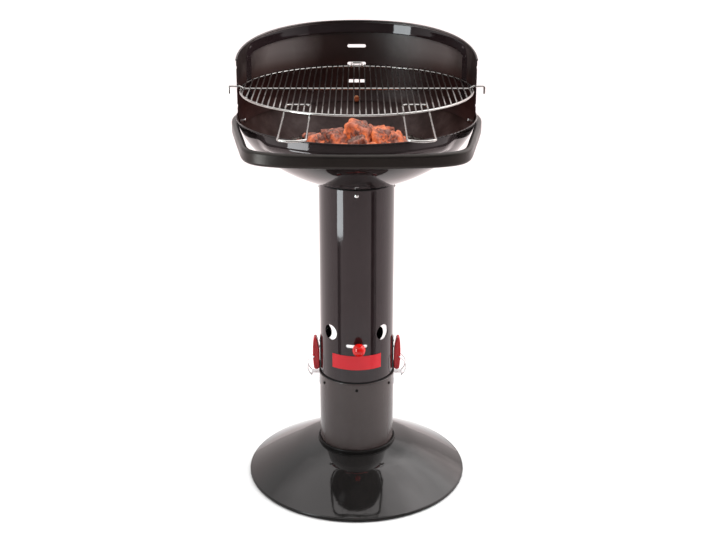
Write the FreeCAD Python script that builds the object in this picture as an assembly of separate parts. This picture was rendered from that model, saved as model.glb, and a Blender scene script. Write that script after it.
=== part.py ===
import math
import os

import FreeCAD
import Part

os.makedirs("parts", exist_ok=True)
V = FreeCAD.Vector
Z = V(0, 0, 1)
O = V(0, 0, 0)

# ---------------------------------------------------------------- dimensions, mm
# origin on the column's axis at the floor, +Z up, front of the grill towards -Y

# foot
FOOT_R = 243.4            # outside of the rolled rim
FOOT_BEAD = 4.6           # radius of the rolled rim
FOOT_BEAD_Z = 4.3         # its centre height, the underside is flattened on the floor
FOOT_T = 1.6
FOOT_SLOPES = (13.0, 24.25, 31.0)   # degrees: at the collar, past the shoulder, at the rim
FOOT_SHOULDER = (110.0, 150.0)    # radii between which the slope changes
COLLAR_RI = 81.82         # raised collar that grips the pot
COLLAR_RO = 87.0
COLLAR_Z0 = 72.0
COLLAR_Z1 = 84.0

# ash pot
POT_R = 81.8
POT_T = 1.2
POT_Z0 = 0.0
POT_Z1 = 245.8
POT_BEAD = 1.5
POT_SCREW_Z = 230.0
POT_SCREW_N = 6
SEAL_OUT = 0.9            # sealing ring beyond the pot wall
SEAL_H = 0.7              # height of its straight part

# column
TUBE_R = 80.0
TUBE_T = 1.2
TUBE_Z0 = 237.0
TUBE_Z1 = 681.0
AIR_R = 17.5
AIR_Z = 358.0
AIR_AZ = (-45.0, 45.0, 135.0, -135.0)
SLOT_Z = 333.4
SLOT_H = 8.4
SLOT_AZ = 16.8            # half angle
NECK_SCREW_Z = 671.0

# damper
DAMPER_R = 78.3           # outside
DAMPER_T = 1.2
DAMPER_Z0 = 323.0
DAMPER_Z1 = 384.0
DAMPER_TURN = -11.0       # stored half open
KNOB_R = 14.0
KNOB_AZ = 2.9
KNOB_C = 97.5             # knob centre from the axis
STEM_R = 3.4

# red plate
PLATE_AZ = 40.5           # half angle
PLATE_Z0 = 278.6
PLATE_Z1 = 311.0
PLATE_T = 0.8

# latches (right-hand one, mirrored for the left)
HINGE_X = 88.7
HINGE_Z = 254.3
BAIL_X = 94.3
BAIL_Z = 279.5
BAIL_WIRE = 1.5
LEVER_W = 20.0
PIN_R = 2.0

# bowl
BOWL_T = 1.2
NECK_R = 78.5
NECK_Z0 = 652.0
BOWL_PROFILE = [          # outer surface, radius and height
    (84.6, 686.0), (97.3, 690.1), (112.2, 695.8), (127.8, 702.6), (143.8, 710.5),
    (159.7, 719.5), (175.3, 729.4), (190.1, 740.3), (204.0, 752.0), (216.6, 764.5),
    (227.4, 777.9), (236.3, 791.9), (242.8, 806.7), (246.6, 822.0),
]
RIM_BEAD = 1.7

# windscreen
SCREEN_R = 245.0
SCREEN_T = 1.3
SCREEN_TOP = 976.0        # at the back, under the rolled edge
SCREEN_DROP = 37.0        # how much lower the top edge is at the sides
SCREEN_POW = 1.32
SCREEN_FRONT_Y = -9.0
SCREEN_BEAD = 2.0
PANEL_AZ = 67.0           # pressed panel, half angle from the back
PANEL_STEP = 1.3
PANEL_DOWN = 25.0         # its upper edge below the sheet's top edge
PANEL_Z0 = 836.5
GRID_LEVELS = (842.3, 881.6, 920.9)
REAR_SLOT_W = 41.0
REAR_SLOT_H = 7.2

# grip ring
RING_Z = 797.0
RING_H = 28.0
RING_T = 13.2
RING_ROUND = 6.1
RING_OUTLINE = [          # outer outline, right half, back to front
    (0.0, 262.0), (67.8, 253.1), (131.0, 226.9), (185.3, 185.3), (226.9, 131.0), (250.5, 76.8),
    (260.0, 32.0), (259.3, 6.0), (256.0, -20.5), (250.2, -54.0), (244.5, -86.7), (238.7, -118.7),
    (233.1, -149.8), (227.7, -180.2), (222.2, -208.0), (215.0, -229.0), (203.0, -246.0),
    (186.0, -258.0), (165.0, -266.3), (145.0, -271.6), (100.0, -277.6), (50.0, -280.4), (0.0, -281.3),
]
BOLT_Z = 803.5
BOLT_AZ = (97.0, -97.0, 180.0)
BOLT_R = 2.5

# cooking grid
GRID_R = 237.5
GRID_RIM_W = 2.4
GRID_Z = 876.0
BAR_W = 1.35
BAR_PITCH = 11.8
BAR_N = 40
CROSS_W = 2.0
HOOK_X = 262.0
HOOK_DROP = 15.5
LOOP_XI = 88.6
LOOP_XO = 138.6
LOOP_Y0 = -128.0
LOOP_Y1 = -412.0
LOOP_W = 2.3
TAB_W = 2.0

# fire grate
GRATE_R = 180.0
GRATE_W = 3.0
GRATE_BAR_W = 2.5
GRATE_PITCH = 20.0


# ---------------------------------------------------------------- helpers
def az_dir(az):
    """Unit vector at an azimuth counted from the front (-Y) towards +X."""
    a = math.radians(az)
    return V(math.sin(a), -math.cos(a), 0)


def wire_of(points):
    return Part.makePolygon([V(*p) for p in points] + [V(*points[0])])


def revolve_poly(points):
    """Solid of revolution of a closed (r, z) outline about the column's axis."""
    return Part.Face(wire_of([(r, 0, z) for r, z in points])).revolve(O, Z, 360)


def ring_solid(ri, ro, z0, z1):
    return Part.makeCylinder(ro, z1 - z0, V(0, 0, z0)).cut(Part.makeCylinder(ri, z1 - z0 + 2, V(0, 0, z0 - 1)))


def wedge(az0, az1, r, z0, z1):
    """Pie-shaped solid between two azimuths."""
    n = max(2, int(abs(az1 - az0) / 20) + 1)
    pts = [V(0, 0, z0)]
    for i in range(n + 1):
        d = az_dir(az0 + (az1 - az0) * i / n)
        pts.append(V(d.x * r * 1.05, d.y * r * 1.05, z0))
    return Part.Face(Part.makePolygon(pts + [pts[0]])).extrude(V(0, 0, z1 - z0))


def radial_cyl(r, az, z, r0, r1):
    d = az_dir(az)
    return Part.makeCylinder(r, r1 - r0, V(d.x * r0, d.y * r0, z), d)


def screw(az, z, r_head, head_r, head_h, shank_r, r_end, inward=False):
    """Round-head screw along a radius; the head sits on radius r_head."""
    d = az_dir(az)
    if inward:
        d = d * -1
        base = V(-d.x * r_head, -d.y * r_head, z)
        length = r_end - r_head
    else:
        base = V(d.x * r_head, d.y * r_head, z)
        length = r_head - r_end
    head = Part.makeCylinder(head_r, head_h)
    top = [e for e in head.Edges if abs(e.BoundBox.ZMin - head_h) < 1e-6 and abs(e.BoundBox.ZMax - head_h) < 1e-6]
    head = head.makeFillet(head_h * 0.62, top)
    s = head.fuse(Part.makeCylinder(shank_r, length + 0.5, V(0, 0, -length)))
    s.Placement = FreeCAD.Placement(base, FreeCAD.Rotation(Z, d))
    return s


def bent_path(points, radius):
    """Wire through the points with its corners rounded, by one radius or one for each corner."""
    pts = [V(*p) for p in points]
    radii = radius if isinstance(radius, list) else [radius] * (len(pts) - 2)
    edges, last = [], pts[0]
    for i in range(1, len(pts) - 1):
        a, b, c = pts[i - 1], pts[i], pts[i + 1]
        u, w = (a - b).normalize(), (c - b).normalize()
        half = u.getAngle(w) / 2
        radius = radii[i - 1]
        cut = radius / math.tan(half)
        p, q = b + u * cut, b + w * cut
        mid_dir = (u + w).normalize()
        centre = b + mid_dir * (radius / math.sin(half))
        m = centre - mid_dir * radius
        if (p - last).Length > 1e-6:
            edges.append(Part.makeLine(last, p))
        edges.append(Part.Arc(p, m, q).toShape())
        last = q
    if (pts[-1] - last).Length > 1e-6:
        edges.append(Part.makeLine(last, pts[-1]))
    return Part.Wire(edges)


def sweep_round(path, r):
    e = path.Edges[0]
    start = e.valueAt(e.FirstParameter)
    tang = e.tangentAt(e.FirstParameter)
    prof = Part.Wire(Part.makeCircle(r, start, tang))
    return path.makePipeShell([prof], True, False)


def save(name, shapes):
    if not isinstance(shapes, list):
        shapes = [shapes]
    solids = [s for sh in shapes for s in sh.Solids]
    for s in solids:
        if not s.isValid() or s.Volume <= 0:
            print("CHECK", name, s.isValid(), s.Volume)
    shape = solids[0] if len(solids) == 1 else Part.makeCompound(solids)
    shape.exportStep("parts/%s.step" % name)
    bb = shape.optimalBoundingBox()
    print("%-18s solids %2d vol %9.0f  x %.1f..%.1f y %.1f..%.1f z %.1f..%.1f" % (
        name, len(solids), shape.Volume, bb.XMin, bb.XMax, bb.YMin, bb.YMax, bb.ZMin, bb.ZMax))
    return shape


# ---------------------------------------------------------------- foot
bead_r = FOOT_R - FOOT_BEAD


def foot_slope(r):
    a0, am, a1 = FOOT_SLOPES
    s0, s1 = FOOT_SHOULDER
    t = min(1.0, max(0.0, (r - s0) / (s1 - s0)))
    t = t * t * (3 - 2 * t)
    outer = am + (a1 - am) * min(1.0, max(0.0, (r - s1) / (bead_r - s1)))
    return math.radians(a0 + (outer - a0) * t)


dome_pts, dome_low = [], []
r_in, z_in, steps = COLLAR_RO - 1.2, COLLAR_Z0 + 3.0, 150
# the dome runs out nearly flush on the rolled rim
r_out = bead_r + (FOOT_BEAD - 0.3) * math.sin(math.radians(FOOT_SLOPES[2]))
z_here = z_in
for i in range(steps + 1):
    r_here = r_in + (r_out - r_in) * i / steps
    if i:
        z_here -= math.tan(foot_slope(r_here - (r_out - r_in) / steps / 2)) * (r_out - r_in) / steps
    if i % 10 == 0:
        sl = foot_slope(r_here)
        dome_pts.append(V(r_here, 0, z_here))
        dome_low.append(V(r_here - FOOT_T * math.sin(sl), 0, z_here - FOOT_T * math.cos(sl)))
dome_top_curve, dome_low_curve = Part.BSplineCurve(), Part.BSplineCurve()
dome_top_curve.interpolate(dome_pts)
dome_low_curve.interpolate(dome_low[::-1])
neck_lo, neck_hi = V(COLLAR_RI, 0, dome_low[0].z), V(COLLAR_RI, 0, z_in)
cone = Part.Face(Part.Wire([
    dome_top_curve.toShape(), Part.makeLine(dome_pts[-1], dome_low[-1]), dome_low_curve.toShape(),
    Part.makeLine(dome_low[0], neck_lo), Part.makeLine(neck_lo, neck_hi), Part.makeLine(neck_hi, dome_pts[0])])).revolve(O, Z, 360)
print("foot dome ends at", round(dome_pts[-1].x, 2), round(dome_pts[-1].z, 2))
collar_w = (COLLAR_RO - COLLAR_RI) / 2
collar = ring_solid(COLLAR_RI, COLLAR_RO, COLLAR_Z0 + 1.0, COLLAR_Z1 - collar_w).fuse(
    Part.makeTorus(COLLAR_RI + collar_w, collar_w, V(0, 0, COLLAR_Z1 - collar_w)))
bead = Part.makeTorus(bead_r, FOOT_BEAD, V(0, 0, FOOT_BEAD_Z))
bead = bead.cut(Part.makeBox(600, 600, 20, V(-300, -300, -20)))
foot = cone.fuse([collar, bead]).removeSplitter()
save("foot", foot)

# ---------------------------------------------------------------- ash pot
pot = ring_solid(POT_R - POT_T, POT_R, POT_Z0, POT_Z1).fuse([
    Part.makeCylinder(POT_R, 1.5, V(0, 0, POT_Z0)),
    Part.makeTorus(POT_R + 0.5, POT_BEAD, V(0, 0, POT_Z1 - POT_BEAD)).cut(
        Part.makeCylinder(POT_R - POT_T, 20, V(0, 0, POT_Z1 - 12)))])
for i in range(POT_SCREW_N):
    pot = pot.cut(radial_cyl(1.7, 360.0 / POT_SCREW_N * i, POT_SCREW_Z, 70, 90))
for side in (90, -90):
    for dy in (-5.0, 5.0):
        pot = pot.cut(radial_cyl(1.6, side + math.degrees(dy / POT_R), 219.0, 70, 90))
save("ash_pot", pot.removeSplitter())

support = revolve_poly([(79.2, 221.0), (80.4, 221.0), (80.4, 237.0), (71.0, 237.0), (71.0, 235.6), (79.2, 235.6)])
for i in range(POT_SCREW_N):
    support = support.cut(radial_cyl(1.7, 360.0 / POT_SCREW_N * i, POT_SCREW_Z, 70, 90))
save("support_ring", support)
save("pot_screws", [screw(360.0 / POT_SCREW_N * i, POT_SCREW_Z, POT_R + 0.02, 3.3, 2.2, 1.55, 76.0)
                    for i in range(POT_SCREW_N)])

# black sealing ring on the pot's rim, round the column
seal_mid = (TUBE_R + 0.02 + POT_R + SEAL_OUT) / 2
seal_half = (POT_R + SEAL_OUT - TUBE_R - 0.02) / 2
seal = ring_solid(TUBE_R + 0.02, POT_R + SEAL_OUT, POT_Z1 + 0.02, POT_Z1 + SEAL_H).fuse(
    Part.makeTorus(seal_mid, seal_half, V(0, 0, POT_Z1 + SEAL_H)).common(ring_solid(TUBE_R + 0.02, POT_R + 3.0, POT_Z1 + SEAL_H, POT_Z1 + 6.0)))
save("pot_seal", seal.removeSplitter())

# ---------------------------------------------------------------- column tube
tube = ring_solid(TUBE_R - TUBE_T, TUBE_R, TUBE_Z0, TUBE_Z1)
for az in AIR_AZ:
    tube = tube.cut(radial_cyl(AIR_R, az, AIR_Z, 60, 95))
slot = wedge(-SLOT_AZ + 3.0, SLOT_AZ - 3.0, 100, SLOT_Z - SLOT_H / 2, SLOT_Z + SLOT_H / 2)
tube = tube.cut(slot)
for s in (-1, 1):
    tube = tube.cut(radial_cyl(SLOT_H / 2, s * (SLOT_AZ - 3.0), SLOT_Z, 60, 95))
for az in (0, 90, 180, 270):
    tube = tube.cut(radial_cyl(2.1, az, NECK_SCREW_Z, 60, 95))
for side in (90, -90):
    for z in (300.0, 314.0):
        tube = tube.cut(radial_cyl(1.6, side, z, 60, 95))
save("column_tube", tube)
save("neck_screws", [screw(az, NECK_SCREW_Z, TUBE_R + 0.03, 4.2, 2.8, 2.0, 73.0) for az in (0, 90, 180, 270)])

# ---------------------------------------------------------------- damper
dring = ring_solid(DAMPER_R - DAMPER_T, DAMPER_R, DAMPER_Z0, DAMPER_Z1)
for az in AIR_AZ:
    dring = dring.cut(radial_cyl(AIR_R, az + DAMPER_TURN, AIR_Z, 60, 95))
dring = dring.cut(radial_cyl(STEM_R, KNOB_AZ, SLOT_Z, 60, 95))
save("damper_ring", dring)
save("damper_stem", radial_cyl(STEM_R, KNOB_AZ, SLOT_Z, 75.0, KNOB_C - 4.0))
kd = az_dir(KNOB_AZ)
knob = Part.makeSphere(KNOB_R, V(kd.x * KNOB_C, kd.y * KNOB_C, SLOT_Z)).cut(
    radial_cyl(STEM_R, KNOB_AZ, SLOT_Z, 60.0, KNOB_C - 4.0))
save("damper_knob", knob)

# ---------------------------------------------------------------- red plate
plate = ring_solid(TUBE_R + 0.02, TUBE_R + PLATE_T, PLATE_Z0, PLATE_Z1).common(
    wedge(-PLATE_AZ, PLATE_AZ, 100, PLATE_Z0 - 1, PLATE_Z1 + 1))
save("front_plate", plate)

# ---------------------------------------------------------------- latches
# base plate on the column with a central lug that carries the hinge pin
base = ring_solid(TUBE_R + 0.02, TUBE_R + 1.5, 249.0, 325.0).common(
    Part.makeBox(40, 19, 90, V(60, -9.5, 245)))
lug = Part.Face(wire_of([(TUBE_R + 0.6, 0, 249.0), (HINGE_X, 0, 249.7), (HINGE_X + 4.3, 0, 252.5),
                         (HINGE_X + 4.3, 0, 257.5), (HINGE_X, 0, 259.2), (TUBE_R + 0.6, 0, 266.0)])).extrude(V(0, 7.0, 0))
lug.translate(V(0, -3.5, 0))
base = base.fuse(lug)
base = base.cut(Part.makeCylinder(PIN_R, 40, V(HINGE_X, -20, HINGE_Z), V(0, 1, 0)))
for z in (300.0, 314.0):
    base = base.cut(radial_cyl(1.6, 90, z, 60, 95))
pin = Part.makeCylinder(PIN_R, LEVER_W - 1.0, V(HINGE_X, -(LEVER_W - 1.0) / 2, HINGE_Z), V(0, 1, 0))

# lever: rounded lower end about the hinge, widest at mid height, tip leaning out
R_END = 6.6
lever_pts = [(HINGE_X + R_END * math.cos(math.radians(a)), HINGE_Z + R_END * math.sin(math.radians(a)))
             for a in (12, -20, -55, -90, -125, -160, 168)]
lever_pts += [(82.3, 270.0), (82.3, 283.0), (82.9, 296.0), (84.5, 308.0), (86.6, 318.0), (88.7, 322.8), (91.4, 324.2), (94.0, 322.8),
              (95.6, 317.5), (96.6, 306.0), (97.2, 290.0), (96.8, 273.0)]
lever_curve = Part.BSplineCurve()
lever_curve.interpolate([V(x, 0, z) for x, z in lever_pts], True)
lever = Part.Face(Part.Wire(lever_curve.toShape())).extrude(V(0, LEVER_W, 0))
lever.translate(V(0, -LEVER_W / 2, 0))
lever_edges = [e for e in lever.Edges if abs(e.BoundBox.YMax - e.BoundBox.YMin) < 1e-3]
for fr in (1.8, 1.4, 1.0, 0.6):
    try:
        rounded = lever.makeFillet(fr, lever_edges)
    except Exception:
        continue
    if rounded.isValid() and rounded.Volume > 0:
        lever = rounded
        print("lever fillet", fr)
        break
lever = lever.cut(Part.makeBox(40, 8.0, 26.0, V(70, -4.0, 246.0)))
lever = lever.cut(Part.makeCylinder(PIN_R + 0.05, 60, V(HINGE_X, -30, HINGE_Z), V(0, 1, 0)))
lever = lever.cut(Part.makeCylinder(BAIL_WIRE + 0.05, 60, V(BAIL_X, -30, BAIL_Z), V(0, 1, 0)))

# bail: closed wire loop, upper bar through the lever, arms bowed out round its lower end
ARM_Y = LEVER_W / 2 + BAIL_WIRE + 1.2
arc = Part.Arc(V(BAIL_X, 0, BAIL_Z), V(109.0, 0, 259.5), V(99.5, 0, 236.5))
arm_pts = []
for i in (1, 2, 3, 4, 5, 6):
    q = arc.value(arc.FirstParameter + (arc.LastParameter - arc.FirstParameter) * i / 6.0)
    arm_pts.append((q.x, q.z))
half_bail = [(BAIL_X, 0.15, BAIL_Z), (BAIL_X, ARM_Y, BAIL_Z)] + [(x, ARM_Y, z) for x, z in arm_pts]
bail_pts = half_bail + [(x, -y, z) for x, y, z in half_bail[::-1]]
bail_bends = [2.4] + [14.0] * 5 + [2.4, 2.4] + [14.0] * 5 + [2.4]
bail = sweep_round(bent_path(bail_pts, bail_bends), BAIL_WIRE)

# catch on the pot: riveted back plate with a flange that the bail's lower bar hooks under
catch = ring_solid(POT_R + 0.02, POT_R + 1.5, 212.0, 239.9).common(Part.makeBox(40, 18, 60, V(60, -9, 200)))
flange = Part.makeBox(100.3 - 82.6, 18, 1.4, V(82.6, -9, 238.6))
catch = catch.fuse(flange)
for dy in (-5.0, 5.0):
    catch = catch.cut(radial_cyl(1.6, 90 + math.degrees(dy / POT_R), 219.0, 70, 95))

rivets = [screw(90, z, TUBE_R + 1.52, 2.8, 1.1, 1.5, 77.0) for z in (300.0, 314.0)] + [
    screw(90 + math.degrees(dy / POT_R), 219.0, POT_R + 1.52, 2.8, 1.1, 1.5, 79.0) for dy in (-5.0, 5.0)]


def mirrored(shape):
    return shape.mirror(O, V(1, 0, 0))


for name, shape in (("latch_base", base), ("latch_pin", pin), ("latch_lever", lever), ("latch_bail", bail), ("pot_catch", catch)):
    save(name + "_right", shape)
    save(name + "_left", mirrored(shape))
save("latch_rivets", rivets + [mirrored(r) for r in rivets])

# ---------------------------------------------------------------- bowl
curve = Part.BSplineCurve()
curve.interpolate([V(r, 0, z) for r, z in BOWL_PROFILE])


def offset_points(c, t, n):
    out = []
    for i in range(n + 1):
        u = c.FirstParameter + (c.LastParameter - c.FirstParameter) * i / n
        p, d = c.value(u), c.tangent(u)[0]
        out.append(V(p.x - d.z * t, 0, p.z + d.x * t))
    return out


inner_pts = offset_points(curve, BOWL_T, 26)
inner = Part.BSplineCurve()
inner.interpolate(inner_pts)
p0, p1 = curve.value(curve.FirstParameter), curve.value(curve.LastParameter)
q0, q1 = inner_pts[0], inner_pts[-1]
neck_i = NECK_R - BOWL_T
outline = Part.Wire([
    Part.makeLine(V(NECK_R, 0, NECK_Z0), V(NECK_R, 0, 683.4)),
    Part.Arc(V(NECK_R, 0, 683.4), V(80.4, 0, 685.35), p0).toShape(),
    curve.toShape(),
    Part.makeLine(p1, q1),
    inner.toShape(),
    Part.Arc(q0, V(79.6, 0, 686.1), V(neck_i, 0, 683.6)).toShape(),
    Part.makeLine(V(neck_i, 0, 683.6), V(neck_i, 0, NECK_Z0)),
    Part.makeLine(V(neck_i, 0, NECK_Z0), V(NECK_R, 0, NECK_Z0)),
])
bowl = Part.Face(outline).revolve(O, Z, 360)
bowl = bowl.fuse(Part.makeTorus(246.9, RIM_BEAD, V(0, 0, 822.4)))
for az in (0, 90, 180, 270):
    bowl = bowl.cut(radial_cyl(2.1, az, NECK_SCREW_Z, 60, 95))
for az in BOLT_AZ:
    bowl = bowl.cut(radial_cyl(BOLT_R + 0.1, az, BOLT_Z, 225, 252))
save("bowl", bowl)

# ---------------------------------------------------------------- windscreen
SKIRT = [(SCREEN_R, 826.0), (SCREEN_R - 0.5, 821.0), (242.9, 814.5), (240.6, 806.7), (237.2, 798.6)]
outer = [(SCREEN_R, 990.0)] + SKIRT
inn = [(r - SCREEN_T, z) for r, z in outer]
sheet = Part.Face(wire_of([(r, 0, z) for r, z in outer + inn[::-1]])).revolve(O, Z, 360)


def top_z(y):
    return SCREEN_TOP - SCREEN_DROP * max(0.0, 1 - y / SCREEN_R) ** SCREEN_POW


def above(drop, y0):
    """Everything above the sheet's top edge line lowered by drop."""
    ys = [y0 + (260.0 - y0) * i / 24 for i in range(25)]
    c = Part.BSplineCurve()
    c.interpolate([V(-300, y, top_z(min(y, SCREEN_R)) - drop) for y in ys])
    a, b = c.value(c.FirstParameter), c.value(c.LastParameter)
    w = Part.Wire([c.toShape(), Part.makeLine(b, V(-300, b.y, 1100)),
                   Part.makeLine(V(-300, b.y, 1100), V(-300, a.y, 1100)), Part.makeLine(V(-300, a.y, 1100), a)])
    return Part.Face(w).extrude(V(600, 0, 0))


front_cut = Part.makeBox(600, 400, 400, V(-300, SCREEN_FRONT_Y - 400, 700))
screen = sheet.cut([above(0, -60.0), front_cut])
# pressed panel, stepped outwards
panel_zone = wedge(180 - PANEL_AZ, 180 + PANEL_AZ, 300, PANEL_Z0, 1000).cut(above(PANEL_DOWN, -60.0))
panel = ring_solid(SCREEN_R - SCREEN_T + PANEL_STEP - 0.5, SCREEN_R + PANEL_STEP - 0.5, 830, 1000).common(panel_zone)
hole_zone = wedge(180 - PANEL_AZ + 0.3, 180 + PANEL_AZ - 0.3, 300, PANEL_Z0 + 1.2, 1000).cut(above(PANEL_DOWN + 1.2, -60.0))
screen = screen.cut(hole_zone).fuse(panel)
# rolled top edge
n = 40
pts = []
a_end = math.degrees(math.asin(-SCREEN_FRONT_Y / SCREEN_R)) + 90
for i in range(n + 1):
    a = math.radians(-a_end + 2 * a_end * i / n)
    x, y = (SCREEN_R - SCREEN_T / 2) * math.sin(a), (SCREEN_R - SCREEN_T / 2) * math.cos(a)
    pts.append(V(x, y, top_z(y)))
c = Part.BSplineCurve()
c.interpolate(pts)
roll = sweep_round(Part.Wire(c.toShape()), SCREEN_BEAD)
screen = screen.fuse(roll)
# slots at the back, notches in the front edges
for z in GRID_LEVELS:
    zc = z - 0.2
    s = Part.makeBox(REAR_SLOT_W - REAR_SLOT_H, 40, REAR_SLOT_H, V(-(REAR_SLOT_W - REAR_SLOT_H) / 2, 225, zc - REAR_SLOT_H / 2))
    for sx in (-1, 1):
        s = s.fuse(Part.makeCylinder(REAR_SLOT_H / 2, 40, V(sx * (REAR_SLOT_W - REAR_SLOT_H) / 2, 225, zc), V(0, 1, 0)))
    screen = screen.cut(s)
    notch_h = 2 * CROSS_W + 2.2
    nb = Part.makeBox(600, 40, notch_h, V(-300, -40.0, z - CROSS_W - 0.4))
    nb = nb.fuse(Part.makeCylinder(notch_h / 2, 600, V(-300, 0.0, z - CROSS_W - 0.4 + notch_h / 2), V(1, 0, 0)))
    screen = screen.cut(nb)
for az in BOLT_AZ:
    screen = screen.cut(radial_cyl(BOLT_R + 0.1, az, BOLT_Z, 225, 252))
save("windscreen", screen)

# ---------------------------------------------------------------- grip ring
half = RING_OUTLINE
full = half + [(-x, y) for x, y in half[-2:0:-1]]
oc = Part.BSplineCurve()
oc.interpolate([V(x, y, RING_Z) for x, y in full], True)
mid = []
n = 96
for i in range(n):
    u = oc.FirstParameter + (oc.LastParameter - oc.FirstParameter) * i / n
    p, d = oc.value(u), oc.tangent(u)[0]
    nrm = V(d.y, -d.x, 0)
    if nrm.dot(V(p.x, p.y, 0)) > 0:
        nrm = nrm * -1
    mid.append(p + nrm * (RING_T / 2))
mc = Part.BSplineCurve()
mc.interpolate(mid, True)
path = Part.Wire(mc.toShape())
sp = mc.value(mc.FirstParameter)
td = mc.tangent(mc.FirstParameter)[0]
nd = V(td.y, -td.x, 0)
hw, hh, rr = RING_T / 2, RING_H / 2, RING_ROUND


def sec(a, b):
    return sp + nd * a + Z * b


k = rr * (1 - math.sqrt(0.5))
section = Part.Wire([
    Part.makeLine(sec(-hw, -hh + rr), sec(-hw, hh - rr)),
    Part.Arc(sec(-hw, hh - rr), sec(-hw + k, hh - k), sec(-hw + rr, hh)).toShape(),
    Part.makeLine(sec(-hw + rr, hh), sec(hw - rr, hh)),
    Part.Arc(sec(hw - rr, hh), sec(hw - k, hh - k), sec(hw, hh - rr)).toShape(),
    Part.makeLine(sec(hw, hh - rr), sec(hw, -hh + rr)),
    Part.Arc(sec(hw, -hh + rr), sec(hw - k, -hh + k), sec(hw - rr, -hh)).toShape(),
    Part.makeLine(sec(hw - rr, -hh), sec(-hw + rr, -hh)),
    Part.Arc(sec(-hw + rr, -hh), sec(-hw + k, -hh + k), sec(-hw, -hh + rr)).toShape(),
])
ps = Part.BRepOffsetAPI.MakePipeShell(path)
ps.setBiNormalMode(Z)
ps.add(section, False, False)
ps.build()
ps.makeSolid()
grip = ps.shape()
spacers, bolts = [], []
for az in BOLT_AZ:
    sp_c = radial_cyl(6.5, az, BOLT_Z, 236.0, 256.0).cut(radial_cyl(BOLT_R + 0.1, az, BOLT_Z, 230, 260))
    sp_c = sp_c.cut(grip)
    solid_bowl = Part.Face(Part.Wire([curve.toShape(), Part.makeLine(p1, V(0, 0, p1.z)),
                                      Part.makeLine(V(0, 0, p1.z), V(0, 0, p0.z)), Part.makeLine(V(0, 0, p0.z), p0)])).revolve(O, Z, 360)
    sp_c = sp_c.cut(solid_bowl)
    spacers.append(max(sp_c.Solids, key=lambda s: s.Volume))
    if az == 180.0:
        save("rear_bolt", screw(az, BOLT_Z, 235.4, 7.6, 4.2, BOLT_R, 255.0, inward=True))
    else:
        bolts.append(screw(az, BOLT_Z, 236.0, 4.2, 3.0, BOLT_R, 255.0, inward=True))
for az in BOLT_AZ:
    grip = grip.cut(radial_cyl(BOLT_R, az, BOLT_Z, 230, 255.0))
save("grip_ring", grip)
save("ring_spacers", spacers)
save("ring_bolts", bolts)

# ---------------------------------------------------------------- fire grate
GRATE_Z = 738.6


def grate_chord(x):
    return math.sqrt(max(0.0, GRATE_R ** 2 - x ** 2))


save("grate_rim", Part.makeTorus(GRATE_R, GRATE_W, V(0, 0, GRATE_Z)))
gb = []
nb = int(GRATE_R / GRATE_PITCH)
for i in range(-nb + 1, nb):
    x = i * GRATE_PITCH
    L = grate_chord(x) + 1.0
    gb.append(Part.makeCylinder(GRATE_BAR_W, 2 * L, V(x, -L, GRATE_Z + GRATE_W + GRATE_BAR_W - 0.3), V(0, 1, 0)))
save("grate_bars", gb)

# ---------------------------------------------------------------- charcoal
rnd = [12345]


def rand():
    rnd[0] = (rnd[0] * 1103515245 + 12345) % 2147483648
    return rnd[0] / 2147483648.0


lump_spots = []
z_top = GRATE_Z + GRATE_W + 2 * GRATE_BAR_W
for layer, (rad, zc) in enumerate(((138.0, 18.5), (76.0, 54.0))):
    pitch = 54.0
    off = 0.0 if layer == 0 else pitch / 2
    for i in range(-4, 5):
        for j in range(-4, 5):
            x = (i + 0.5 * (j % 2)) * pitch + off
            y = j * pitch * 0.866 + off * 0.58
            if math.hypot(x, y) <= rad and (layer == 0 or y < 0):
                lump_spots.append((x, y, z_top + zc))
lumps = []
for x, y, z in lump_spots:
    sx, sy, sz = 34 + 6 * rand(), 30 + 5 * rand(), 25 + 4 * rand()
    b = Part.makeBox(sx, sy, sz, V(-sx / 2, -sy / 2, -sz / 2))
    b = b.makeChamfer(6.5, b.Edges)
    rot = FreeCAD.Rotation(360 * rand(), 24 * rand() - 12, 24 * rand() - 12)
    b.Placement = FreeCAD.Placement(V(x + 3 * rand() - 1.5, y + 3 * rand() - 1.5, z), rot)
    lumps.append(b)
save("charcoal", lumps)

# ---------------------------------------------------------------- cooking grid
save("grid_rim", Part.makeTorus(GRID_R, GRID_RIM_W, V(0, 0, GRID_Z)))
BAR_Z = GRID_Z + GRID_RIM_W + BAR_W - 0.3
bars = []
for i in range(BAR_N):
    x = (i - (BAR_N - 1) / 2.0) * BAR_PITCH
    L = math.sqrt(max(0.0, GRID_R ** 2 - x ** 2)) + 1.2
    if L < 30:
        continue
    bars.append(Part.makeCylinder(BAR_W, 2 * L, V(x, -L, BAR_Z), V(0, 1, 0)))
save("grid_bars", bars)
cross_z = BAR_Z - BAR_W + 0.3 - CROSS_W
hook_z = GRID_LEVELS[1]
cross_path = bent_path([(-HOOK_X, 0, hook_z - HOOK_DROP), (-HOOK_X, 0, hook_z), (-240.5, 0, hook_z), (-231.0, 0, cross_z),
                        (231.0, 0, cross_z), (240.5, 0, hook_z), (HOOK_X, 0, hook_z), (HOOK_X, 0, hook_z - HOOK_DROP)], 3.4)
save("grid_cross_bar", sweep_round(cross_path, CROSS_W))

loop_z = GRID_Z - GRID_RIM_W - LOOP_W + 0.3


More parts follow.
